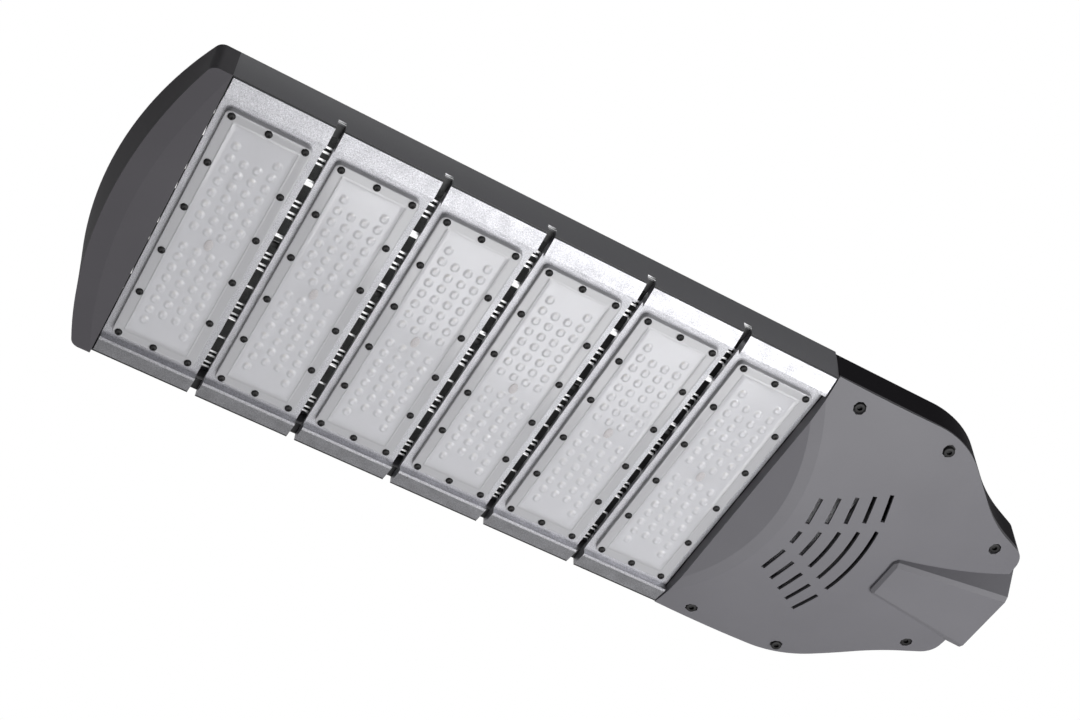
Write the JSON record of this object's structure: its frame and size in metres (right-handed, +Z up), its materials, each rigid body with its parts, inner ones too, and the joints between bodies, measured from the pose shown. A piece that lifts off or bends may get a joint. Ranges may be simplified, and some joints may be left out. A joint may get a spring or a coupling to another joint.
{
  "type": "led street light head",
  "caption": "Flat street light head: LED modules with clear lens plates and finned heat sinks between side rails, a nose cap, and a gear housing with a slip-on pole socket.",
  "frame": {"origin": "centre of the pole socket's mouth, on the socket's axis", "axes": "+X out of the socket's mouth towards the pole, +Y across the head, +Z up; the light leaves to -Z"},
  "size_m": [0.8954, 0.3066, 0.0858],
  "materials": {
    "bare_aluminium": "extruded, bare and slightly grained",
    "led_board": "white solder mask on a metal core",
    "seal_rubber": "soft, matt",
    "lens": "clear moulded polycarbonate",
    "black_screws": "black coated steel",
    "zinc_screws": "zinc plated",
    "rail_paint": "satin powder coat",
    "cap_paint": "satin powder coat on a die casting",
    "housing_paint": "satin black powder coat",
    "cover_paint": "fine-textured grey powder coat",
    "galvanised_steel": "galvanised sheet",
    "driver_case": "bead-blasted case",
    "dark_plastic": "moulded nylon",
    "pale_plastic": "moulded nylon",
    "lead_sheath": "rubber-sheathed lead"
  },
  "bodies": {
    "root": {"module_1_heat_sink": "bare_aluminium", "module_1_led_board": "led_board", "module_1_lens_seal": "seal_rubber", "module_1_lens_plate": "lens", "module_1_lens_screws": "black_screws", "module_2_heat_sink": "bare_aluminium", "module_2_led_board": "led_board", "module_2_lens_seal": "seal_rubber", "module_2_lens_plate": "lens", "module_2_lens_screws": "black_screws", "module_3_heat_sink": "bare_aluminium", "module_3_led_board": "led_board", "module_3_lens_seal": "seal_rubber", "module_3_lens_plate": "lens", "module_3_lens_screws": "black_screws", "module_4_heat_sink": "bare_aluminium", "module_4_led_board": "led_board", "module_4_lens_seal": "seal_rubber", "module_4_lens_plate": "lens", "module_4_lens_screws": "black_screws", "module_5_heat_sink": "bare_aluminium", "module_5_led_board": "led_board", "module_5_lens_seal": "seal_rubber", "module_5_lens_plate": "lens", "module_5_lens_screws": "black_screws", "module_6_heat_sink": "bare_aluminium", "module_6_led_board": "led_board", "module_6_lens_seal": "seal_rubber", "module_6_lens_plate": "lens", "module_6_lens_screws": "black_screws", "side_rail_left": "rail_paint", "side_rail_right": "rail_paint", "module_bolts": "zinc_screws", "front_cap": "cap_paint", "front_cap_screws": "zinc_screws", "housing_tongue_screws": "zinc_screws", "gear_housing": "housing_paint", "rear_cover": "cover_paint", "cover_screws": "black_screws", "pole_clamp_bolts": "zinc_screws", "gear_tray": "galvanised_steel", "tray_screws": "zinc_screws", "led_driver": "driver_case", "driver_screws": "zinc_screws", "surge_arrester": "dark_plastic", "terminal_block": "pale_plastic", "cable_gland": "dark_plastic", "led_lead": "lead_sheath", "lead_grommet": "seal_rubber", "wire_outlets": "dark_plastic"}
  },
  "joints": []
}
